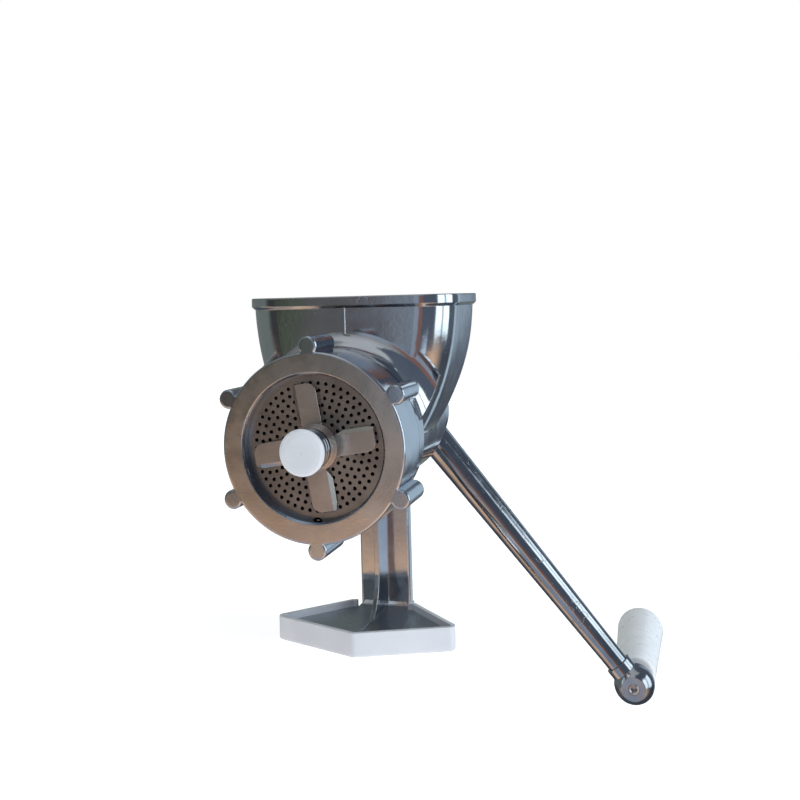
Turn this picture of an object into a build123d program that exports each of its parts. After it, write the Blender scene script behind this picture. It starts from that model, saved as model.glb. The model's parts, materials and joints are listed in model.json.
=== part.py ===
from build123d import *
import os
from math import cos, pi, radians, sin, sqrt

# Hand crank meat grinder that clamps to the edge of a table. Millimetres.
# The origin is on the table top, in the middle of the white shoe's underside.
# +Z is up. The shaft runs along Y: food leaves at -Y and the crank is at +Y.

# Shaft and barrel
axis_z = 98.0
barrel_r = 30.0
barrel_rear_r = 25.0
barrel_rear = 65.0
bore_r = 26.4
bore_rear_r = 19.0
bore_rear = 49.0
collar_r = 35.5
collar_front = -47.0
collar_rear = -30.0
nose_r = 33.9
nose_front = -64.9

# Ring nut, perforated plate and the knife outside it
nut_front = -70.0
nut_length = 22.0
nut_r = 38.0
nut_opening_r = 29.15
nut_lip = 4.55
lug_r = 3.9
lug_circle_r = 40.3
lug_count = 6
lug_start = 91.5
plate_r = 30.95
plate_front = -65.4
plate_thickness = 5.0
plate_hole_r = 0.76
plate_hole_gap = 3.25
plate_ring_step = 2.86
plate_first_ring = 11.1
plate_ring_count = 6
ring_twist = 7.0
journal_r = 6.2
key_r = 1.6
key_circle_r = 30.4
notch_r = 2.4
knife_front = -67.6
knife_back = -65.45
blade_half = 5.0
blade_reach = 25.6
blade_turn = 9.5
blade_bevel = 1.7
bevel_depth = 1.3
hub_r = 9.6
hub_step_r = 8.3
hub_front = -70.6
square_drive = 8.6
knob_front = -82.3
knob_r = 9.15
knob_boss_r = 5.4
knob_boss_end = -76.2
cup_front = -78.6
cup_r = 8.65
spring_front = -77.4
spring_length = 6.05
spring_r = 7.65
spring_wire_r = 0.68
spring_pitch = 2.3

# Hopper
rim_z = 157.5
rim_height = 3.9
rim_proud = 1.3
hopper_front = -26.5
hopper_wall = 2.6
front_corner_r = 15.0
rear_corner_r = 14.0
# each level is a height, half the width and where the rear wall stands
hopper_levels = [
    (rim_z, 47.0, 37.0),
    (141.7, 45.8, 36.6),
    (127.3, 43.1, 35.0),
    (115.5, 39.4, 32.0),
    (105.0, 34.9, 29.0),
    (94.0, 28.5, 24.5),
]

# Post, foot and clamp
shoe_height = 11.0
shoe_floor = 2.5
shoe_lip = 2.0
foot_top = 8.0
foot_tip_y = -26.6
foot_side_x = 43.8
foot_side_y = -8.9
foot_corner_r = 3.2
foot_rear_x = 15.4
foot_rear_y = 21.5
post_width = 24.6
post_front = 25.0
post_back = 31.0
rib_root = 3.4
rib_nose = 2.2
rib_front = 11.8
rear_rib_back = 41.0
jaw_y = -2.0
arm_top = -52.0
arm_bottom = -60.0
boss_top = -47.0
boss_bottom = -62.0
spine_bottom = -72.0
pad_top = -25.0
pad_r = 15.0
screw_r = 5.0
screw_eye_z = -118.0
tommy_r = 3.0
tommy_length = 78.0

# Crank and handle
crank_y = 78.0
crank_angle = -50.8
crank_length = 180.0
crank_hub_r = 14.5
crank_hub_width = 22.0
arm_root_r = 8.2
arm_tip_r = 5.5
arm_wall = 1.4
ball_r = 10.1
facet_r = 6.0
drive_square = 12.0
spindle_r = 4.0
spindle_tail_r = 2.7
grip_front = 88.6
grip_rear = 167.0
grip_front_r = 10.2
grip_rear_r = 12.85
grip_plug_y = 160.0
grip_plug_r = 7.5

running = 0.06
seat_gap = 0.02

ball_x = crank_length * cos(radians(crank_angle))
ball_z = axis_z + crank_length * sin(radians(crank_angle))
facet_depth = sqrt(ball_r**2 - facet_r**2)


def line_along_y(x, z):
    """Plane with its local x along +Y and its local y up, for turning about the line at (x, z)."""
    return Plane(origin=(x, 0, z), x_dir=(0, 1, 0), z_dir=(1, 0, 0))


def line_up(x, y):
    """Plane with its local x up and its local y along +X, for turning about the upright at (x, y)."""
    return Plane(origin=(x, y, 0), x_dir=(0, 0, 1), z_dir=(0, 1, 0))


def seen_from_front(y, z=axis_z):
    """Plane across the shaft that faces the outlet: local x is +X, local y is up, normal is -Y."""
    return Plane(origin=(0, y, z), x_dir=(1, 0, 0), z_dir=(0, -1, 0))


def turned(line, *points, mode=Mode.ADD):
    """Turns a closed outline of (distance along the line, radius) points about that line."""
    with BuildSketch(line) as outline:
        with BuildLine():
            Polyline(*points, close=True)
        make_face()
    revolve(profiles=outline.sketch, axis=Axis(line.origin, line.x_dir), mode=mode)


def ring(line, start, end, inner_r, outer_r, mode=Mode.ADD):
    """A washer or sleeve about the line, or a disc where the inner radius is nought."""
    turned(line, (start, inner_r), (start, outer_r), (end, outer_r), (end, inner_r), mode=mode)


def side_web(width, *points, mode=Mode.ADD):
    """A web of the given width, centred on X = 0, from its outline in (Y, Z)."""
    with BuildSketch(Plane.YZ) as outline:
        with BuildLine():
            Polyline(*points, close=True)
        make_face()
    extrude(to_extrude=outline.sketch, amount=width / 2, both=True, mode=mode)


def hopper_section(z, half_width, rear, inset):
    """The hopper's plan at one height: tight corners in front, wide ones at the rear."""
    front = hopper_front + inset
    back = rear - inset
    with BuildSketch(Plane.XY.offset(z)) as section:
        with Locations((0, (front + back) / 2)):
            Rectangle(2 * (half_width - inset), back - front)
        fillet(section.vertices().group_by(Axis.Y)[0], front_corner_r - inset)
        fillet(section.vertices().group_by(Axis.Y)[-1], rear_corner_r - inset)
    return section.sketch


def foot_plan(z, inset):
    """The foot's five-sided plan, pointed towards the outlet."""
    with BuildSketch(Plane.XY.offset(z)) as plan:
        with BuildLine():
            Polyline(
                (0, foot_tip_y),
                (foot_side_x, foot_side_y),
                (foot_rear_x, foot_rear_y),
                (-foot_rear_x, foot_rear_y),
                (-foot_side_x, foot_side_y),
                close=True,
            )
        make_face()
        fillet(plan.vertices(), foot_corner_r)
        if inset:
            offset(amount=-inset)
    return plan.sketch


def save(piece, name):
    """Labels a finished piece and writes its STEP file."""
    piece.part.label = name
    export_step(piece.part, f"parts/{name}.step")


os.makedirs("parts", exist_ok=True)
shaft = line_along_y(0, axis_z)
jaw = line_up(0, jaw_y)
crank_centre = Vector(0, crank_y, axis_z)
crank_dir = Vector(cos(radians(crank_angle)), 0, sin(radians(crank_angle)))
crank_line = Plane(origin=crank_centre, x_dir=crank_dir, z_dir=(0, 1, 0))
handle = line_along_y(ball_x, ball_z)

# ---------------------------------------------------------------- housing
# Hollow flare from the collar into the hopper's front wall, no wider than the hopper is.
flare_start = collar_rear - 6
flare_end = hopper_front + 3
flare_top = hopper_front + 0.2
flare_r = collar_r + 13
hopper_side = [(half, z - axis_z) for z, half, rear in hopper_levels]
with BuildPart() as fairing:
    with BuildSketch(shaft) as flare:
        with BuildLine():
            ThreePointArc((flare_start, collar_r), (flare_start + 6.4, collar_r + 3.2), (flare_top, flare_r))
            Polyline((flare_top, flare_r), (flare_end, flare_r), (flare_end, 0), (flare_start, 0))
            Line((flare_start, 0), (flare_start, collar_r))
        make_face()
    revolve(profiles=flare.sketch, axis=Axis(shaft.origin, shaft.x_dir))
    with BuildSketch(seen_from_front(flare_end + 1)) as hopper_outline:
        with BuildLine():
            Polyline(*hopper_side, *[(-x, z) for x, z in reversed(hopper_side)], close=True)
        make_face()
    extrude(to_extrude=hopper_outline.sketch, amount=flare_end - flare_start + 2, mode=Mode.INTERSECT)

# One casting: barrel, hopper, post, foot plate and the C frame of the clamp.
with BuildPart() as housing:
    turned(
        shaft,
        (nose_front, 0),
        (nose_front, nose_r),
        (collar_front, nose_r),
        (collar_front, collar_r - 1),
        (collar_front + 1, collar_r),
        (collar_rear, collar_r),
        (collar_rear, barrel_r),
        (38, barrel_r - 1),
        (barrel_rear - 12, barrel_rear_r),
        (barrel_rear - 1.5, barrel_rear_r),
        (barrel_rear, barrel_rear_r - 1.5),
        (barrel_rear, 0),
    )
    add(fairing.part)
    loft(sections=[hopper_section(z, half, rear, 0) for z, half, rear in hopper_levels])
    rim_half, rim_rear = hopper_levels[0][1:]
    rim_plan = hopper_section(rim_z - rim_height, rim_half, rim_rear, -rim_proud)
    extrude(to_extrude=rim_plan, amount=rim_height)
    extrude(to_extrude=rim_plan, amount=rim_proud - 0.15, dir=(0, 0, -1), taper=45)
    fillet(housing.faces().sort_by(Axis.Z)[-1].edges(), 0.6)
    # parting line of the mould, down the middle of the front wall
    side_web(0.8, (hopper_front - 0.45, 132), (hopper_front - 0.45, 153), (-20, 153), (-20, 132))

    # post: a flange with a rib in front, which flares over the foot, and a rib behind
    with BuildSketch(Plane.XY.offset(spine_bottom)) as flange:
        with Locations((0, (post_front + post_back) / 2)):
            Rectangle(post_width, post_back - post_front)
        fillet(flange.vertices(), 1.2)
    extrude(to_extrude=flange.sketch, amount=80 - spine_bottom)
    side_web(5, (post_back - 1, -64), (rear_rib_back, -52), (rear_rib_back, 80), (post_back - 1, 80))
    with BuildSketch(Plane.XY.offset(foot_top - 0.1)) as front_rib:
        with BuildLine():
            Polyline(
                (-rib_root / 2, post_front + 1),
                (-rib_nose / 2, rib_front),
                (rib_nose / 2, rib_front),
                (rib_root / 2, post_front + 1),
                close=True,
            )
        make_face()
    extrude(to_extrude=front_rib.sketch, amount=76 - foot_top)
    side_web(
        rib_nose,
        (post_front, 34),
        (rib_front + 0.2, 34),
        (rib_front, 26),
        (rib_front - 1.0, 20),
        (rib_front - 3.2, 15.2),
        (rib_front - 6.5, 11.2),
        (rib_front - 11.0, foot_top - 0.1),
        (post_front, foot_top - 0.1),
    )
    # skirt round the root of the post
    with BuildSketch(Plane.XY.offset(foot_top - 0.1)) as skirt:
        with Locations((0, (post_front + post_back) / 2)):
            Rectangle(post_width, post_back - post_front + 4)
    extrude(to_extrude=skirt.sketch, amount=2, taper=45)
    # foot plate and the tongue that joins it to the post
    foot_under = shoe_floor + seat_gap
    extrude(to_extrude=foot_plan(foot_under, shoe_lip + 0.2), amount=foot_top - foot_under)
    with BuildSketch(Plane.XY.offset(foot_under)) as tongue:
        with Locations((0, 20)):
            Rectangle(post_width, 14)
    extrude(to_extrude=tongue.sketch, amount=foot_top - foot_under)
    side_web(0.9, (-20, foot_top + 0.5), (8, foot_top + 0.5), (8, 5), (-20, 5))

    # lower arm of the clamp with its screw boss and the web under it
    with BuildSketch(Plane.XY.offset(arm_bottom)) as arm_plan:
        with Locations((0, (jaw_y + post_back) / 2)):
            Rectangle(19, post_back - jaw_y)
    extrude(to_extrude=arm_plan.sketch, amount=arm_top - arm_bottom)
    ring(jaw, boss_bottom, boss_top, 0, 11)
    ring(jaw, boss_bottom - 1, boss_top + 1, 0, screw_r + running, mode=Mode.SUBTRACT)
    side_web(5, (10, arm_bottom + 1), (post_back - 2, arm_bottom + 1), (post_back - 2, spine_bottom))

    # hollow inside: hopper, bore, seat of the plate, seat of the rear bush, key and clamp thread
    hollow_levels = [(rim_z + 1, rim_half, rim_rear)] + hopper_levels[1:]
    loft(
        sections=[hopper_section(z, half, rear, hopper_wall) for z, half, rear in hollow_levels],
        mode=Mode.SUBTRACT,
    )
    turned(
        shaft,
        (nose_front - 2, 0),
        (nose_front - 2, plate_r + seat_gap),
        (plate_front + plate_thickness, plate_r + seat_gap),
        (plate_front + plate_thickness, bore_r),
        (22, bore_r),
        (38, bore_rear_r),
        (bore_rear, bore_rear_r),
        (bore_rear, 13.5 + seat_gap),
        (barrel_rear + 1, 13.5 + seat_gap),
        (barrel_rear + 1, 0),
        mode=Mode.SUBTRACT,
    )
    ring(line_along_y(0, axis_z - key_circle_r), -66, -54, 0, key_r + seat_gap, mode=Mode.SUBTRACT)
save(housing, "housing")

# ---------------------------------------------------------------- white shoe under the foot
with BuildPart() as foot_shoe:
    extrude(to_extrude=foot_plan(0, 0), amount=shoe_height)
    fillet(foot_shoe.faces().sort_by(Axis.Z)[0].edges(), 1.6)
    extrude(to_extrude=foot_plan(shoe_floor, shoe_lip), amount=shoe_height, mode=Mode.SUBTRACT)
    with BuildSketch(Plane.XY.offset(shoe_floor)) as rear_gap:
        with Locations((0, foot_rear_y)):
            Rectangle(post_width + 0.8, 12)
    extrude(to_extrude=rear_gap.sketch, amount=shoe_height, mode=Mode.SUBTRACT)
save(foot_shoe, "foot_shoe")

# ---------------------------------------------------------------- ring nut
with BuildPart() as ring_nut:
    ring(shaft, nut_front, nut_front + nut_length, 0, nut_r)
    with BuildSketch(seen_from_front(nut_front + nut_length)) as lugs:
        with PolarLocations(lug_circle_r, lug_count, start_angle=lug_start):
            Circle(lug_r)
    extrude(to_extrude=lugs.sketch, amount=nut_length)
    fillet(ring_nut.faces().sort_by(Axis.Y)[0].edges(), 0.9)
    turned(
        shaft,
        (nut_front - 1, 0),
        (nut_front - 1, nut_opening_r + 1.6),
        (nut_front + 1.0, nut_opening_r),
        (nut_front + nut_lip, nut_opening_r),
        (nut_front + nut_lip, nose_r + running),
        (nut_front + nut_length + 1, nose_r + running),
        (nut_front + nut_length + 1, 0),
        mode=Mode.SUBTRACT,
    )
save(ring_nut, "ring_nut")

# ---------------------------------------------------------------- perforated plate and its key
with BuildPart() as cutting_plate:
    with BuildSketch(seen_from_front(plate_front + plate_thickness)) as plate_face:
        Circle(plate_r)
        Circle(journal_r + running, mode=Mode.SUBTRACT)
        for ring_index in range(plate_ring_count):
            ring_r = plate_first_ring + ring_index * plate_ring_step
            hole_count = round(2 * pi * ring_r / plate_hole_gap)
            with PolarLocations(ring_r, hole_count, start_angle=ring_twist * ring_index):
                Circle(plate_hole_r, mode=Mode.SUBTRACT)
        with Locations((0, -key_circle_r)):
            Circle(notch_r, mode=Mode.SUBTRACT)
    extrude(amount=plate_thickness)
save(cutting_plate, "cutting_plate")

with BuildPart() as plate_key:
    ring(line_along_y(0, axis_z - key_circle_r), plate_front + 0.3, -54.5, 0, key_r)
    fillet(plate_key.faces().sort_by(Axis.Y)[0].edges(), 0.6)
save(plate_key, "plate_key")

# ---------------------------------------------------------------- cross knife, outside the plate
with BuildPart() as cross_knife:
    with BuildSketch(seen_from_front(knife_back)) as blade_plan:
        with BuildLine():
            Polyline(
                (4 - blade_half, 4),
                (-blade_half, 13),
                (-blade_half, 22.5),
                (0.6 - blade_half, blade_reach),
                (blade_half, blade_reach),
                (blade_half, 4),
                close=True,
            )
        make_face()
        fillet(blade_plan.vertices().group_by(Axis.Y)[-1].sort_by(Axis.X)[-1], 4.0)
    with BuildSketch(seen_from_front(knife_back)) as knife_plan:
        with PolarLocations(0, 4, start_angle=blade_turn):
            add(blade_plan.sketch_local)
        Circle(hub_r)
    extrude(to_extrude=knife_plan.sketch, amount=knife_back - knife_front)
    # stepped face of the hub, with a shallow groove round each step
    ring(shaft, knife_front - 1.0, knife_front + 0.5, 0, hub_r - 0.3)
    ring(shaft, knife_front - 2.0, knife_front + 0.5, 0, hub_step_r + 0.4)
    ring(shaft, hub_front, knife_front + 0.5, 0, hub_step_r)
    # each blade's leading side is cut back to a bevel
    for blade in range(4):
        angle = radians(90 + blade_turn + 90 * blade)
        outward = Vector(cos(angle), 0, sin(angle))
        across = Vector(-sin(angle), 0, cos(angle))
        root = Vector(0, knife_front - 0.01, axis_z) + outward * (hub_r + 0.6)
        with BuildSketch(Plane(origin=root, x_dir=across, z_dir=outward)) as bevel:
            with BuildLine():
                Polyline(
                    (blade_half - blade_bevel, 0),
                    (blade_half + 1, 0),
                    (blade_half + 1, -bevel_depth * (blade_bevel + 1) / blade_bevel),
                    close=True,
                )
            make_face()
        bevel_part = extrude(to_extrude=bevel.sketch, amount=20, mode=Mode.PRIVATE)
        add(bevel_part, mode=Mode.SUBTRACT)
    with BuildSketch(seen_from_front(knife_back + 1)) as drive:
        Rectangle(square_drive + 0.04, square_drive + 0.04, rotation=blade_turn)
    extrude(to_extrude=drive.sketch, amount=8, mode=Mode.SUBTRACT)
save(cross_knife, "cross_knife")

# ---------------------------------------------------------------- feed screw and its front stud
with BuildPart() as feed_screw:
    flight_start = -56.5
    flight_end = 19.5
    turned(
        shaft,
        (-59.6, 0),
        (-59.6, 8.5),
        (15, 10.5),
        (36, 13),
        (41, 15.5),
        (44.95, 15.5),
        (44.95, 10),
        (66.5, 10),
        (66.5, 0),
    )
    flight_path = Helix(
        pitch=27,
        height=flight_end - flight_start,
        radius=17,
        center=(0, flight_start, axis_z),
        direction=(0, 1, 0),
        lefthand=True,
        mode=Mode.PRIVATE,
    )
    flight_at = flight_path @ 0
    flight_out = flight_at - Vector(0, flight_start, axis_z)
    with BuildSketch(Plane(origin=flight_at, x_dir=flight_out, z_dir=flight_path % 0)) as flight_section:
        with BuildLine():
            Polyline((-9.5, -2.6), (9, -1.5), (9, 1.5), (-9.5, 2.6), close=True)
        make_face()
    sweep(sections=flight_section.sketch, path=flight_path, is_frenet=True)
    with BuildSketch(seen_from_front(88.4)) as drive_end:
        Rectangle(drive_square, drive_square, rotation=blade_turn)
        fillet(drive_end.vertices(), 0.8)
    extrude(to_extrude=drive_end.sketch, amount=88.4 - 66)
    ring(shaft, -60, -36, 0, 5 + seat_gap, mode=Mode.SUBTRACT)
    ring(shaft, 68, 90, 0, 4 + running, mode=Mode.SUBTRACT)
    ring(line_up(0, -48), axis_z - 12, axis_z + 12, 0, 1.5 + seat_gap, mode=Mode.SUBTRACT)
save(feed_screw, "feed_screw")

with BuildPart() as knife_stud:
    turned(
        shaft,
        (-36.2, 0),
        (-36.2, 5),
        (-59.7, 5),
        (-59.7, journal_r),
        (plate_front + 0.05, journal_r),
        (plate_front + 0.05, 3),
        (-79.6, 3),
        (-80.2, 2.4),
        (-80.2, 0),
    )
    with BuildSketch(seen_from_front(plate_front + 0.1)) as knife_square:
        Rectangle(square_drive, square_drive, rotation=blade_turn)
    extrude(to_extrude=knife_square.sketch, amount=5.4)
    ring(line_up(0, -48), axis_z - 12, axis_z + 12, 0, 1.5 + seat_gap, mode=Mode.SUBTRACT)
save(knife_stud, "knife_stud")

with BuildPart() as stud_pin:
    ring(line_up(0, -48), axis_z - 8.4, axis_z + 8.4, 0, 1.5)
save(stud_pin, "stud_pin")

# ---------------------------------------------------------------- spring, cup, knob and its insert
with BuildPart() as knife_spring:
    spring_path = Helix(
        pitch=spring_pitch,
        height=spring_length,
        radius=spring_r,
        center=(0, spring_front, axis_z),
        direction=(0, 1, 0),
        mode=Mode.PRIVATE,
    )
    with BuildSketch(Plane(origin=spring_path @ 0, z_dir=spring_path % 0)) as spring_wire:
        Circle(spring_wire_r)
    sweep(sections=spring_wire.sketch, path=spring_path, is_frenet=True)
save(knife_spring, "knife_spring")

with BuildPart() as spring_cup:
    ring(shaft, cup_front, spring_front - spring_wire_r - 0.03, knob_boss_r + running, cup_r)
save(spring_cup, "spring_cup")

with BuildPart() as knob_insert:
    ring(shaft, -80.4, knob_boss_end - 0.1, 3 + running, 4.6)
save(knob_insert, "knob_insert")

with BuildPart() as knob:
    turned(
        shaft,
        (knob_front, 0),
        (knob_front + 0.05, 6.2),
        (knob_front + 0.35, 8.0),
        (knob_front + 1.0, knob_r - 0.15),
        (knob_front + 1.5, knob_r),
        (knob_front + 2.3, knob_r - 0.1),
        (cup_front - 0.05, knob_r - 0.75),
        (cup_front - 0.05, knob_boss_r),
        (knob_boss_end, knob_boss_r),
        (knob_boss_end, 4.62),
        (-80.7, 4.62),
        (-80.7, 0),
    )
save(knob, "knob")

# ---------------------------------------------------------------- rear bush and thrust washer
with BuildPart() as rear_bush:
    turned(
        shaft,
        (46.1, 10 + running),
        (46.1, 16),
        (bore_rear - seat_gap, 16),
        (bore_rear - seat_gap, 13.5),
        (barrel_rear + 0.8, 13.5),
        (barrel_rear + 0.8, 10 + running),
    )
save(rear_bush, "rear_bush")

with BuildPart() as thrust_washer:
    ring(shaft, 45.0, 46.0, 10.05, 15.5)
save(thrust_washer, "thrust_washer")

# ---------------------------------------------------------------- crank
with BuildPart() as crank_hub:
    ring(shaft, crank_y - crank_hub_width / 2, crank_y + crank_hub_width / 2, 0, crank_hub_r)
    chamfer(crank_hub.edges().filter_by(GeomType.CIRCLE), 1.2)
    with BuildSketch(seen_from_front(crank_y + 12)) as hub_square:
        Rectangle(drive_square + 0.04, drive_square + 0.04, rotation=blade_turn)
    extrude(to_extrude=hub_square.sketch, amount=24, mode=Mode.SUBTRACT)
    ring(crank_line, 10, 20, 0, arm_root_r + seat_gap, mode=Mode.SUBTRACT)
save(crank_hub, "crank_hub")

arm_root = 10.05
arm_neck = crank_length - 16.0
arm_tip = crank_length - 6.0
with BuildPart() as crank_arm:
    turned(
        crank_line,
        (arm_root, arm_root_r - arm_wall),
        (arm_root, arm_root_r),
        (22, arm_root_r),
        (arm_neck, arm_tip_r),
        (arm_tip, arm_tip_r),
        (arm_tip, arm_tip_r - arm_wall),
        (arm_neck, arm_tip_r - arm_wall),
        (22, arm_root_r - arm_wall),
    )
save(crank_arm, "crank_arm")

with BuildPart() as crank_ball:
    with Locations((ball_x, crank_y, ball_z)):
        Sphere(ball_r)
    ring(crank_line, crank_length - 12.5, crank_length - 5, 0, arm_tip_r + 1.1)
    ring(handle, crank_y - 12, crank_y - facet_depth, 0, 12, mode=Mode.SUBTRACT)
    ring(handle, crank_y + facet_depth, crank_y + 12, 0, 12, mode=Mode.SUBTRACT)
    ring(crank_line, crank_length - 14, arm_tip + 0.05, 0, arm_tip_r + seat_gap, mode=Mode.SUBTRACT)
    ring(handle, crank_y - 12, crank_y + 12, 0, spindle_tail_r + seat_gap, mode=Mode.SUBTRACT)
save(crank_ball, "crank_ball")

# wing screw and washer that hold the crank on the feed screw's square end
washer_y = crank_y + crank_hub_width / 2 + 0.05
with BuildPart() as crank_washer:
    ring(shaft, washer_y, washer_y + 1.4, 4.3, 11)
save(crank_washer, "crank_washer")

wing_y = washer_y + 1.6
with BuildPart() as wing_screw:
    turned(
        shaft,
        (70, 0),
        (70, 4),
        (wing_y, 4),
        (wing_y, 7),
        (wing_y + 7, 5.5),
        (wing_y + 8.5, 3.5),
        (wing_y + 8.5, 0),
    )
    with BuildSketch(Plane(origin=(0, 0, axis_z), x_dir=(1, 0, 0), z_dir=(0, 0, 1))) as wings:
        with BuildLine():
            Polyline(
                (-5, wing_y + 1),
                (5, wing_y + 1),
                (15.5, wing_y + 8),
                (12.5, wing_y + 14),
                (4, wing_y + 7),
                (-4, wing_y + 7),
                (-12.5, wing_y + 14),
                (-15.5, wing_y + 8),
                close=True,
            )
        make_face()
        fillet(wings.vertices().group_by(Axis.Y)[-1], 2.6)
    extrude(to_extrude=wings.sketch, amount=1.5, both=True)
save(wing_screw, "wing_screw")

# ---------------------------------------------------------------- handle on its spindle
facet_y = crank_y - facet_depth
collar_y = crank_y + facet_depth
with BuildPart() as handle_spindle:
    turned(
        handle,
        (facet_y + 0.2, 0),
        (facet_y + 0.2, 1.4),
        (facet_y - 0.25, 1.9),
        (facet_y - 0.25, spindle_tail_r - 0.3),
        (facet_y + 0.1, spindle_tail_r),
        (collar_y + 0.1, spindle_tail_r),
        (collar_y + 0.1, 6.4),
        (collar_y + 1.8, 6.4),
        (collar_y + 1.8, spindle_r),
        (152, spindle_r),
        (152, 2.5),
        (158.5, 2.5),
        (158.5, 0),
    )
    with BuildSketch(seen_from_front(facet_y + 2.6, ball_z)) as socket:
        with Locations((ball_x, 0)):
            RegularPolygon(1.5, 6)
    extrude(to_extrude=socket.sketch, amount=4, mode=Mode.SUBTRACT)
save(handle_spindle, "handle_spindle")

with BuildPart() as grip_washer:
    ring(handle, 152.1, 153.3, 2.55, 6.3)
save(grip_washer, "grip_washer")

with BuildPart() as spindle_nut:
    with BuildSketch(seen_from_front(157.6, ball_z)) as nut_plan:
        with Locations((ball_x, 0)):
            RegularPolygon(4.6, 6)
            Circle(2.5 + seat_gap, mode=Mode.SUBTRACT)
    extrude(to_extrude=nut_plan.sketch, amount=4.2)
save(spindle_nut, "spindle_nut")

grip_bore = spindle_r + running
with BuildPart() as grip:
    with BuildSketch(handle) as grip_outline:
        with BuildLine():
            Polyline((grip_plug_y, grip_plug_r), (151.8, grip_plug_r), (151.8, grip_bore))
            Polyline((151.8, grip_bore), (grip_front + 1.4, grip_bore), (grip_front, 6))
            front_face = (grip_front, grip_front_r - 1.5)
            Line((grip_front, 6), front_face)
            front_edge = (grip_front + 1.6, grip_front_r)
            ThreePointArc(front_face, (grip_front + 0.5, grip_front_r - 0.4), front_edge)
            rear_edge = (grip_rear - 7, grip_rear_r)
            Line(front_edge, rear_edge)
            grip_end = (grip_rear - 0.4, grip_plug_r)
            ThreePointArc(rear_edge, (grip_rear - 2.4, grip_rear_r - 1.8), grip_end)
            Line(grip_end, (grip_plug_y, grip_plug_r))
        make_face()
    revolve(profiles=grip_outline.sketch, axis=Axis(handle.origin, handle.x_dir))
save(grip, "grip")

with BuildPart() as grip_plug:
    ring(handle, grip_plug_y, grip_rear, 0, grip_plug_r - seat_gap)
    fillet(grip_plug.faces().sort_by(Axis.Y)[-1].edges(), 0.8)
save(grip_plug, "grip_plug")

# ---------------------------------------------------------------- clamp screw, swivel pad and tommy bar
with BuildPart() as pad_cap:
    turned(
        jaw,
        (pad_top, 0),
        (pad_top, pad_r - 0.5),
        (pad_top - 0.6, pad_r + 0.8),
        (pad_top - 4, pad_r + 0.8),
        (pad_top - 4, pad_r + seat_gap),
        (pad_top - 2, pad_r + seat_gap),
        (pad_top - 2, 0),
    )
save(pad_cap, "pad_cap")

with BuildPart() as pressure_pad:
    turned(
        jaw,
        (pad_top - 2.05, 0),
        (pad_top - 2.05, pad_r),
        (pad_top - 4.5, pad_r),
        (pad_top - 6, 8.5),
        (pad_top - 11, 7.5),
        (pad_top - 11, 3.5 + running),
        (pad_top - 9, 3.5 + running),
        (pad_top - 9, 4.2 + running),
        (pad_top - 4, 4.2 + running),
        (pad_top - 4, 0),
    )
save(pressure_pad, "pressure_pad")

with BuildPart() as clamp_screw:
    turned(
        jaw,
        (pad_top - 4.1, 0),
        (pad_top - 4.1, 3.4),
        (pad_top - 4.9, 4.2),
        (pad_top - 8.9, 4.2),
        (pad_top - 8.9, 3.5),
        (pad_top - 12.5, 3.5),
        (pad_top - 14, screw_r),
        (screw_eye_z + 9, screw_r),
        (screw_eye_z + 7, 7.5),
        (screw_eye_z - 6, 7.5),
        (screw_eye_z - 8, 5.5),
        (screw_eye_z - 8, 0),
    )
    tommy_line = Plane(origin=(0, jaw_y, screw_eye_z), x_dir=(1, 0, 0), z_dir=(0, 0, 1))
    ring(tommy_line, -12, 12, 0, tommy_r + running, mode=Mode.SUBTRACT)
save(clamp_screw, "clamp_screw")

with BuildPart() as tommy_bar:
    ring(tommy_line, -tommy_length / 2, tommy_length / 2, 0, tommy_r)
save(tommy_bar, "tommy_bar")

with BuildPart() as tommy_caps:
    for side in (-1, 1):
        inner = side * (tommy_length / 2 - 5)
        outer = side * (tommy_length / 2 + 1.5)
        turned(
            tommy_line,
            (inner, tommy_r + seat_gap),
            (inner, 4.6),
            (inner + side * 1, 5.2),
            (outer - side * 1.5, 5.2),
            (outer, 3.6),
            (outer, 0),
            (side * (tommy_length / 2 + seat_gap), 0),
            (side * (tommy_length / 2 + seat_gap), tommy_r + seat_gap),
        )
save(tommy_caps, "tommy_caps")
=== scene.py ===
import json
import math
import bpy
import bmesh
from mathutils import Matrix, Vector


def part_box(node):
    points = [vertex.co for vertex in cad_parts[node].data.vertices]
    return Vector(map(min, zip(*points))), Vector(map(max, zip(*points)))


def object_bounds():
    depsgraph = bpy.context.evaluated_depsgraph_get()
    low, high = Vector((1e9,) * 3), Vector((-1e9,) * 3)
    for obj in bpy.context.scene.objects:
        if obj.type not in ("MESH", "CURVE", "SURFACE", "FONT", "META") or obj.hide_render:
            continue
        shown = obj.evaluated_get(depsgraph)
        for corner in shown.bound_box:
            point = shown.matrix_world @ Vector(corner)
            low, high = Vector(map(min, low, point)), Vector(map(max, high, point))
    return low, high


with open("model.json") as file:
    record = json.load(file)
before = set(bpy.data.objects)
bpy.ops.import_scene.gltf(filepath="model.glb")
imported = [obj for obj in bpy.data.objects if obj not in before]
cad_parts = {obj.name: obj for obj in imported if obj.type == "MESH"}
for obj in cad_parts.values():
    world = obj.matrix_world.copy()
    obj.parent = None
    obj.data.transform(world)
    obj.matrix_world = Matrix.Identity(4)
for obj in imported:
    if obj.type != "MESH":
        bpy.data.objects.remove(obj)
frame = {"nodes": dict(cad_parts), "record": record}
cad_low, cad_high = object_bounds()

# Hand crank meat grinder, clamped to the edge of a pale board. Metres.
# The seat of the shoe is at z = 0, the shaft runs along Y and the outlet faces -Y.

nodes = frame["nodes"]
mm = 0.001
shaft_z = 98 * mm
opening_r = 29.8 * mm
nut_r = 38 * mm


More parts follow.
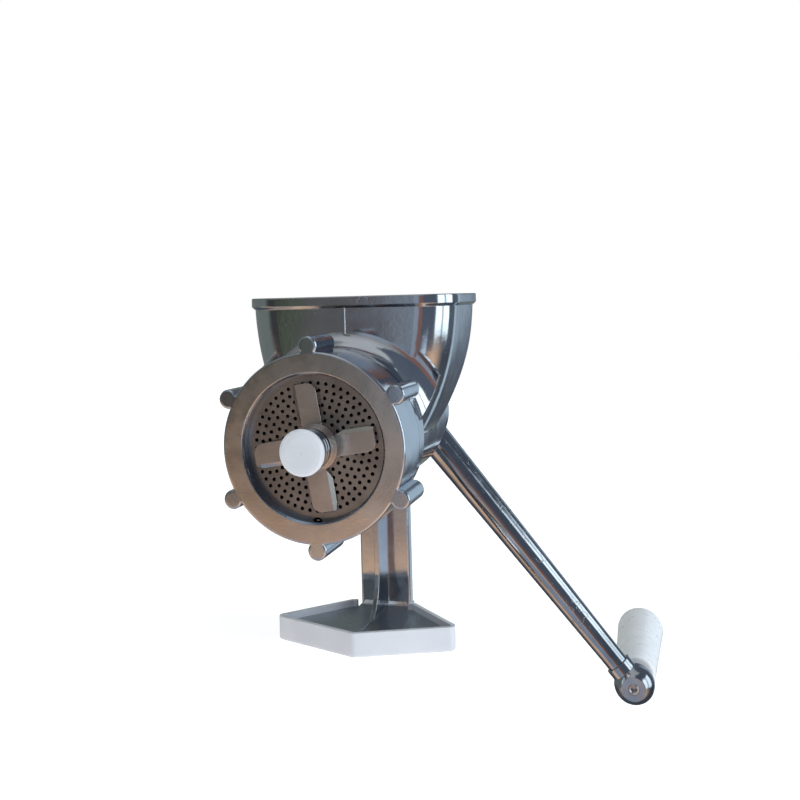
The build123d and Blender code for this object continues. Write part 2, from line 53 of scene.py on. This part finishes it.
# ---------------------------------------------------------------- shader helpers
class Nodes:
    """A node tree, with a short call for each kind of node that both a material and the room use."""

    def __init__(self, owner):
        owner.use_nodes = True
        self.tree = owner.node_tree
        self.tree.nodes.clear()

    def link(self, source, target):
        if isinstance(source, bpy.types.NodeSocket):
            self.tree.links.new(source, target)
        else:
            target.default_value = source

    def split(self, vector):
        """The X, Y and Z of a vector."""
        node = self.tree.nodes.new("ShaderNodeSeparateXYZ")
        self.link(vector, node.inputs[0])
        return node.outputs

    def span(self, value, low, high, to_low=0.0, to_high=1.0):
        """Goes smoothly from to_low to to_high while value goes from low to high."""
        node = self.tree.nodes.new("ShaderNodeMapRange")
        node.interpolation_type = "SMOOTHSTEP"
        names = ("From Min", "From Max", "To Min", "To Max")
        for name, number in zip(names, (low, high, to_low, to_high)):
            node.inputs[name].default_value = number
        self.link(value, node.inputs["Value"])
        return node.outputs["Result"]

    def math(self, operation, first, second=0.0):
        node = self.tree.nodes.new("ShaderNodeMath")
        node.operation = operation
        self.link(first, node.inputs[0])
        self.link(second, node.inputs[1])
        return node.outputs[0]

    def blend(self, amount, first, second):
        """Colour between first and second."""
        node = self.tree.nodes.new("ShaderNodeMix")
        node.data_type = "RGBA"
        self.link(amount, node.inputs["Factor"])
        for value, socket in ((first, node.inputs[6]), (second, node.inputs[7])):
            if not isinstance(value, bpy.types.NodeSocket):
                value = (*value, 1.0)
            self.link(value, socket)
        return node.outputs[2]


class Shader(Nodes):
    """One material with a single Principled shader."""

    def __init__(self, name):
        self.material = bpy.data.materials.new(name)
        super().__init__(self.material)
        output = self.tree.nodes.new("ShaderNodeOutputMaterial")
        self.bsdf = self.tree.nodes.new("ShaderNodeBsdfPrincipled")
        self.tree.links.new(self.bsdf.outputs[0], output.inputs["Surface"])
        self.point = self.tree.nodes.new("ShaderNodeTexCoord").outputs["Object"]

    def set(self, **values):
        """Sets or links the shader's sockets: underscores stand for spaces."""
        for name, value in values.items():
            socket = self.bsdf.inputs[name.replace("_", " ")]
            if socket.type == "RGBA" and isinstance(value, tuple):
                value = (*value, 1.0)
            self.link(value, socket)

    def stretched(self, scale):
        """The surface point scaled along X, Y and Z, for grain that runs one way."""
        node = self.tree.nodes.new("ShaderNodeMapping")
        node.inputs["Scale"].default_value = scale
        self.link(self.point, node.inputs["Vector"])
        return node.outputs[0]

    def noise(self, scale, detail=2.0, rough=0.5, warp=0.0, at=None):
        node = self.tree.nodes.new("ShaderNodeTexNoise")
        self.link(at or self.point, node.inputs["Vector"])
        node.inputs["Scale"].default_value = scale
        node.inputs["Detail"].default_value = detail
        node.inputs["Roughness"].default_value = rough
        node.inputs["Distortion"].default_value = warp
        return node.outputs["Fac"]

    def cells(self, scale):
        node = self.tree.nodes.new("ShaderNodeTexVoronoi")
        self.link(self.point, node.inputs["Vector"])
        node.inputs["Scale"].default_value = scale
        return node.outputs["Distance"]

    def bump(self, height, distance, strength=1.0, normal=None):
        node = self.tree.nodes.new("ShaderNodeBump")
        node.inputs["Strength"].default_value = strength
        node.inputs["Distance"].default_value = distance
        self.link(height, node.inputs["Height"])
        if normal is not None:
            self.link(normal, node.inputs["Normal"])
        return node.outputs[0]

    def soft_edge(self, radius):
        """Normal that rounds sharp edges a little."""
        node = self.tree.nodes.new("ShaderNodeBevel")
        node.samples = 4
        node.inputs["Radius"].default_value = radius
        return node.outputs[0]

    def part_of_point(self, axis):
        return self.split(self.point)[axis]

    def scratches(self, scale, stretch, width=0.02, amount=0.55):
        """Thin wandering lines, in some patches only: where a stretched noise crosses its middle."""
        lines = self.noise(scale, 1.0, 0.5, 0.3, at=self.stretched(stretch))
        near = self.math("ABSOLUTE", self.math("SUBTRACT", lines, 0.5))
        thin = self.span(near, 0.0, width, 1.0, 0.0)
        patch = self.span(self.noise(scale * 0.35, 1.0), amount, amount + 0.12)
        return self.math("MULTIPLY", thin, patch)


# ---------------------------------------------------------------- materials
def polished_casting():
    s = Shader("polished_casting")
    height = s.part_of_point("Z")
    foot = s.math("MULTIPLY", s.span(height, 0.0079, 0.0090, 1.0, 0.0), s.span(height, -0.001, 0.0))
    tone = s.noise(28, 3.0, 0.55)
    colour = s.blend(s.span(tone, 0.35, 0.65), (0.50, 0.52, 0.55), (0.60, 0.615, 0.635))
    pits = s.span(s.cells(420), 0.0, 0.16, 1.0, 0.0)
    few = s.span(s.noise(60, 2.0), 0.54, 0.68)
    pitted = s.math("MULTIPLY", pits, few)
    marks = s.scratches(90, (1.0, 1.0, 0.2), 0.006, 0.56)
    worn = s.math("MAXIMUM", pitted, marks)
    colour = s.blend(s.math("MULTIPLY", worn, 0.4), colour, (0.20, 0.21, 0.24))
    # the foot plate's top is darker unpolished casting, and its blue tint is a painted reflection of
    # the cool room
    colour = s.blend(s.math("MULTIPLY", foot, 0.6), colour, (0.26, 0.31, 0.37))
    rough = s.span(s.noise(75, 4.0, 0.6), 0.3, 0.7, 0.07, 0.15)
    rough = s.math("ADD", rough, s.math("MULTIPLY", worn, 0.2))
    rough = s.math("ADD", rough, s.math("MULTIPLY", foot, 0.2))
    wavy = s.bump(s.noise(30, 1.5, 0.4), 0.0009, 0.25, s.soft_edge(0.0006))
    skin = s.bump(s.noise(420, 3.0, 0.6), 0.00003, 0.5, wavy)
    cast = s.bump(s.math("MULTIPLY", s.noise(520, 4.0, 0.65), foot), 0.0004, 0.7, skin)
    dents = s.bump(worn, -0.00006, 0.7, cast)
    s.set(Base_Color=colour, Metallic=1.0, Roughness=rough, Normal=dents)
    return s.material


def nut_metal():
    s = Shader("nut_metal")
    across = s.math("POWER", s.part_of_point("X"), 2.0)
    above = s.math("POWER", s.math("SUBTRACT", s.part_of_point("Z"), shaft_z), 2.0)
    from_shaft = s.math("SQRT", s.math("ADD", across, above))
    bore_polish_and_painted_reflection = s.span(from_shaft, opening_r - 0.0002, opening_r + 0.0003, 1.0, 0.0)
    flank_polish_and_painted_reflection = s.span(from_shaft, nut_r - 0.0012, nut_r - 0.0002)
    tone = s.noise(36, 4.0, 0.6)
    colour = s.blend(s.span(tone, 0.35, 0.65), (0.60, 0.555, 0.51), (0.69, 0.65, 0.605))
    # painted reflection: the polished outer edge is tinted cool blue-grey in place of the cool light it
    # mirrors
    colour = s.blend(flank_polish_and_painted_reflection, colour, (0.52, 0.56, 0.61))
    # painted reflection: the opening's bore is tinted dark blue in place of the cool light it mirrors
    colour = s.blend(bore_polish_and_painted_reflection, colour, (0.34, 0.42, 0.54))
    pits = s.span(s.cells(560), 0.0, 0.17, 1.0, 0.0)
    pits = s.math("MULTIPLY", pits, s.span(s.noise(85, 2.0), 0.55, 0.68))
    colour = s.blend(s.math("MULTIPLY", pits, 0.45), colour, (0.33, 0.28, 0.25))
    rough = s.span(s.noise(120, 4.0, 0.6), 0.3, 0.7, 0.15, 0.23)
    rough = s.math("SUBTRACT", rough, s.math("MULTIPLY", s.math("MAXIMUM", bore_polish_and_painted_reflection, flank_polish_and_painted_reflection), 0.07))
    wavy = s.bump(s.noise(45, 2.0), 0.0006, 0.3, s.soft_edge(0.0006))
    skin = s.bump(s.noise(1100, 3.0, 0.6), 0.00003, 0.6, wavy)
    s.set(Base_Color=colour, Metallic=1.0, Roughness=rough, Normal=s.bump(pits, -0.00008, 0.7, skin))
    return s.material


def ground_steel(name, dark, light, rough_low, rough_high, grain):
    """Ground steel with a fine grain that runs one way."""
    s = Shader(name)
    lines = s.noise(2600, 2.0, 0.7, at=s.stretched(grain))
    colour = s.blend(s.span(s.noise(70, 3.0), 0.35, 0.65), dark, light)
    spots = s.span(s.cells(700), 0.0, 0.15, 1.0, 0.0)
    spots = s.math("MULTIPLY", spots, s.span(s.noise(110), 0.58, 0.70))
    colour = s.blend(s.math("MULTIPLY", spots, 0.4), colour, (0.16, 0.14, 0.12))
    fine = s.bump(lines, 0.000002, 0.4, s.soft_edge(0.0004))
    s.set(Base_Color=colour, Metallic=1.0, Roughness=s.span(lines, 0.3, 0.7, rough_low, rough_high))
    s.set(Normal=s.bump(spots, -0.00004, 0.6, fine))
    return s.material


def chrome():
    s = Shader("chrome")
    pits = s.span(s.cells(650), 0.0, 0.2, 1.0, 0.0)
    pits = s.math("MULTIPLY", pits, s.span(s.noise(130, 2.0), 0.5, 0.62))
    marks = s.scratches(190, (1.0, 1.0, 1.0), 0.010, 0.53)
    worn = s.math("MAXIMUM", pits, marks)
    tone = s.span(s.noise(45, 3.0), 0.35, 0.65)
    colour = s.blend(tone, (0.31, 0.33, 0.355), (0.44, 0.455, 0.475))
    colour = s.blend(s.math("MULTIPLY", worn, 0.6), colour, (0.24, 0.22, 0.21))
    rough = s.span(s.noise(95, 4.0, 0.6), 0.3, 0.7, 0.05, 0.15)
    rough = s.math("ADD", rough, s.math("MULTIPLY", worn, 0.25))
    wavy = s.bump(s.noise(70, 2.0), 0.0003, 0.4, s.soft_edge(0.0004))
    s.set(Base_Color=colour, Metallic=1.0, Roughness=rough, Normal=s.bump(worn, -0.00007, 0.8, wavy))
    return s.material


def white_plastic(name, colour_low, colour_high, rough, coat):
    s = Shader(name)
    cloud = s.span(s.noise(55, 3.0), 0.3, 0.7)
    colour = s.blend(cloud, colour_low, colour_high)
    scuffs = s.scratches(140, (1.0, 1.0, 0.4), 0.012, 0.55)
    colour = s.blend(s.math("MULTIPLY", scuffs, 0.07), colour, (0.55, 0.54, 0.52))
    roughness = s.span(s.noise(160, 3.0), 0.3, 0.7, rough - 0.05, rough + 0.06)
    roughness = s.math("ADD", roughness, s.math("MULTIPLY", scuffs, 0.08))
    wavy = s.bump(s.noise(80, 2.0), 0.0003, 0.3, s.soft_edge(0.0005))
    skin = s.bump(s.noise(1200, 2.0), 0.00003, 0.4, wavy)
    s.set(Base_Color=colour, Roughness=roughness, Normal=s.bump(scuffs, -0.00001, 0.3, skin))
    s.set(Subsurface_Weight=0.12, Subsurface_Radius=(0.004, 0.004, 0.004), Subsurface_Scale=0.5)
    s.set(Coat_Weight=coat, Coat_Roughness=0.12, IOR=1.49)
    return s.material


def brass():
    s = Shader("brass")
    colour = s.blend(s.span(s.noise(120, 3.0), 0.35, 0.65), (0.62, 0.45, 0.18), (0.80, 0.62, 0.30))
    s.set(Base_Color=colour, Metallic=1.0, Roughness=s.span(s.noise(300), 0.3, 0.7, 0.2, 0.35))
    s.set(Normal=s.bump(s.noise(900), 0.00003, 0.5, s.soft_edge(0.0002)))
    return s.material


def feed_casting():
    s = Shader("feed_casting")
    tone = s.span(s.noise(60, 4.0), 0.35, 0.65)
    colour = s.blend(tone, (0.34, 0.35, 0.37), (0.52, 0.53, 0.54))
    s.set(Base_Color=colour, Metallic=1.0, Roughness=s.span(s.noise(140, 4.0), 0.3, 0.7, 0.26, 0.45))
    wavy = s.bump(s.noise(90, 3.0), 0.0005, 0.5, s.soft_edge(0.0005))
    s.set(Normal=s.bump(s.noise(800, 3.0), 0.00006, 0.6, wavy))
    return s.material


# name: dark and light colour, lowest and highest roughness, how far the grain is stretched
ground_steels = {
    "plate_steel": ((0.27, 0.245, 0.22), (0.37, 0.335, 0.30), 0.26, 0.36, (0.05, 1, 1)),
    "knife_steel": ((0.53, 0.48, 0.44), (0.63, 0.58, 0.53), 0.23, 0.27, (0.15, 1, 1)),
    "bright_steel": ((0.48, 0.48, 0.49), (0.64, 0.64, 0.65), 0.18, 0.34, (1, 0.1, 1)),
}
# name: darker and lighter colour, roughness, weight of the glossy coat
plastics = {
    "white_plastic": ((0.69, 0.71, 0.755), (0.75, 0.77, 0.81), 0.34, 0.2),
    "bearing_plastic": ((0.74, 0.74, 0.72), (0.82, 0.82, 0.80), 0.5, 0.0),
    # a brighter copy of the white plastic: painted light on the handle
    "handle_plastic": ((0.90, 0.91, 0.92), (0.94, 0.95, 0.955), 0.3, 0.3),
}
finishes = {
    "polished_casting": polished_casting(),
    "nut_metal": nut_metal(),
    "chrome": chrome(),
    "feed_casting": feed_casting(),
    "brass": brass(),
}
for name, values in ground_steels.items():
    finishes[name] = ground_steel(name, *values)
for name, values in plastics.items():
    finishes[name] = white_plastic(name, *values)

slot_of = {row["node"]: row["material_slot"] for row in frame["record"]["subparts"]}
# painted light: the handle gets a brighter copy of the white plastic, as it is lit more than the knob
# and the shoe
painted_lit_parts = ("grip", "grip_plug")
for name, node in nodes.items():
    node.data.materials.clear()
    node.data.materials.append(finishes["handle_plastic" if name in painted_lit_parts else slot_of[name]])


# ---------------------------------------------------------------- stage and light
def stage_material(name, colour):
    s = Shader(name)
    s.set(Base_Color=s.blend(s.noise(3.0, 3.0), colour, [c * 0.985 for c in colour]), Roughness=0.6)
    s.set(Emission_Color=(1.0, 1.0, 1.0), Emission_Strength=0.62)
    return s.material


def recess(shape, low, high, depth):
    """A rectangular pocket in the underside of a box."""
    face = min(shape.faces, key=lambda f: f.calc_center_median().z)
    bmesh.ops.inset_region(shape, faces=[face], thickness=0.001)
    middle = face.calc_center_median()
    for vert in face.verts:
        vert.co.x = low[0] if vert.co.x < middle.x else high[0]
        vert.co.y = low[1] if vert.co.y < middle.y else high[1]
    roof = bmesh.ops.extrude_discrete_faces(shape, faces=[face])["faces"][0]
    for vert in roof.verts:
        vert.co.z += depth


def stage_box(name, low, high, edge=0.0, pocket=None):
    """A pale box that the metal doesn't mirror, with its edges rounded by edge."""
    mesh = bpy.data.meshes.new(name)
    shape = bmesh.new()
    bmesh.ops.create_cube(shape, size=1.0)
    size = [b - a for a, b in zip(low, high)]
    centre = [(a + b) / 2 for a, b in zip(low, high)]
    bmesh.ops.scale(shape, vec=size, verts=shape.verts)
    bmesh.ops.translate(shape, vec=centre, verts=shape.verts)
    if edge:
        bmesh.ops.bevel(shape, geom=shape.edges, offset=edge, segments=3, affect="EDGES")
    if pocket:
        recess(shape, *pocket)
    shape.to_mesh(mesh)
    shape.free()
    obj = bpy.data.objects.new(name, mesh)
    bpy.context.collection.objects.link(obj)
    mesh.materials.append(pale)
    obj.visible_glossy = False


pale = stage_material("pale_stage", (0.93, 0.93, 0.93))
pad_low, pad_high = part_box("pad_cap")
touch_gap = 0.2 * mm
jaw_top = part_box("foot_shoe")[0].z - touch_gap
jaw_bottom = pad_high.z + touch_gap
floor_reach = 3
floor_z = cad_low.z - 12 * mm
stage_box("floor", (-floor_reach, -floor_reach, floor_z - 20 * mm), (floor_reach, floor_reach, floor_z))

# the board that the clamp grips, with room above the pad for all of its travel
board_front = -160 * mm
board_left, board_right = -105 * mm, 68 * mm
board_back = 24.5 * mm
board_edge = 1.5 * mm
pad_room = 2.5 * mm
pad_travel_room = 24 * mm
pocket_low = (pad_low.x - pad_room, pad_low.y - pad_room)
pocket_high = (pad_high.x + pad_room, pad_high.y + pad_room)
board_low = (board_left, board_front, jaw_bottom)
board_high = (board_right, board_back, jaw_top)
stage_box("board", board_low, board_high, board_edge, (pocket_low, pocket_high, pad_travel_room))

# the board's support, in front of the clamp's bar
plinth_low = (board_left + 5 * mm, board_front + 5 * mm, floor_z)
stage_box("plinth", plinth_low, (board_right - 2 * mm, -85 * mm, jaw_bottom))


def soft_sun(name, toward, strength, spread, colour):
    """A soft light from one side. The metal mirrors the room below instead of this light."""
    data = bpy.data.lights.new(name, "SUN")
    data.energy = strength
    data.angle = math.radians(spread)
    data.color = colour
    obj = bpy.data.objects.new(name, data)
    bpy.context.collection.objects.link(obj)
    obj.rotation_euler = Vector(toward).to_track_quat("Z", "Y").to_euler()
    obj.visible_glossy = False


soft_sun("key", (0.55, -0.28, 0.78), 0.95, 40, (0.96, 0.98, 1.0))
soft_sun("fill", (-0.6, -0.35, 0.75), 0.45, 60, (1.0, 0.985, 0.97))


# ---------------------------------------------------------------- room that the metal mirrors
world = bpy.data.worlds.new("room")
bpy.context.scene.world = world
sky = Nodes(world)
direction = sky.split(sky.tree.nodes.new("ShaderNodeTexCoord").outputs["Generated"])
# degrees round from the outlet's side (-Y) towards +X, and degrees up from level
forward = sky.math("MULTIPLY", direction["Y"], -1.0)
around = sky.math("DEGREES", sky.math("ARCTAN2", direction["X"], forward))
up = sky.math("DEGREES", sky.math("ARCSINE", direction["Z"]))
room = sky.blend(sky.span(up, 0, 65), (0.06, 0.06, 0.065), (0.60, 0.63, 0.66))
# warm table top in front, cool and dim floor behind
front = sky.span(sky.math("ABSOLUTE", around), 60, 110, 1.0, 0.0)
below = sky.blend(front, (0.09, 0.11, 0.14), (1.20, 0.80, 0.55))
room = sky.blend(sky.span(up, -22, -3, 1.0, 0.0), room, below)
# each patch: from and to round, softness, from and to up, softness, colour
patches = [
    (-180, -60, 20, -12, 60, 14, (0.20, 0.23, 0.22)),
    (-24.4, -22.8, 0.8, -8, 40, 8, (0.045, 0.045, 0.042)),
    (-21.9, -21.6, 0.9, -8, 40, 8, (0.13, 0.18, 0.10)),
    (-20.5, -15.5, 1.2, -8, 30, 8, (0.15, 0.145, 0.155)),
    (-13.5, 1, 4, -8, 30, 8, (0.36, 0.43, 0.53)),
    (1, 12, 3, -16, 25, 8, (0.30, 0.17, 0.15)),
    (15, 130, 4, -10, 62, 8, (0.12, 0.15, 0.20)),
    (100, 180, 14, -6, 75, 10, (0.14, 0.17, 0.22)),
    (62, 80, 6, -9, 30, 5, (2.0, 2.3, 2.5)),
    (89, 112, 3, -9, 30, 5, (2.0, 2.3, 2.5)),
    (150, 166, 4, -26, 30, 6, (0.52, 0.66, 0.78)),
    (19, 34, 4, -30, -12, 5, (0.85, 1.00, 1.20)),
    (-40, -4, 6, -70, -20.5, 3, (0.36, 0.46, 0.62)),
]


def window(value, low, high, soft):
    """One from low to high, falling smoothly to nought over soft on either side."""
    rise = sky.span(value, low - soft, low)
    fall = sky.span(value, high, high + soft, 1.0, 0.0)
    return sky.math("MULTIPLY", rise, fall)


for az_low, az_high, az_soft, up_low, up_high, up_soft, colour in patches:
    sides = window(around, az_low, az_high, az_soft)
    band = window(up, up_low, up_high, up_soft)
    room = sky.blend(sky.math("MULTIPLY", sides, band), room, colour)

# the camera sees white paper where the metal sees the room
shown_room = sky.tree.nodes.new("ShaderNodeBackground")
sky.link(room, shown_room.inputs["Color"])
paper = sky.tree.nodes.new("ShaderNodeBackground")
paper.inputs["Color"].default_value = (1, 1, 1, 1)
rays = sky.tree.nodes.new("ShaderNodeLightPath")
choose = sky.tree.nodes.new("ShaderNodeMixShader")
sky.link(rays.outputs["Is Camera Ray"], choose.inputs["Fac"])
sky.link(shown_room.outputs[0], choose.inputs[1])
sky.link(paper.outputs[0], choose.inputs[2])
sky.link(choose.outputs[0], sky.tree.nodes.new("ShaderNodeOutputWorld").inputs["Surface"])


# ---------------------------------------------------------------- camera
camera_data = bpy.data.cameras.new("camera")
camera_data.lens = 45.0
camera_data.sensor_width = 36.0
camera_data.shift_y = -0.129
camera_data.clip_start = 0.02
camera = bpy.data.objects.new("camera", camera_data)
bpy.context.collection.objects.link(camera)
camera_turn = math.radians(15.53)
camera_roll = math.radians(-1.5)
camera_place = (0.13982, -0.43813, 0.15662)
camera.matrix_world = (
    Matrix.Translation(camera_place)
    @ Matrix.Rotation(camera_turn, 4, "Z")
    @ Matrix.Rotation(math.radians(90), 4, "X")
    @ Matrix.Rotation(camera_roll, 4, "Z")
)
bpy.context.scene.camera = camera
bpy.context.scene.view_settings.view_transform = "Standard"
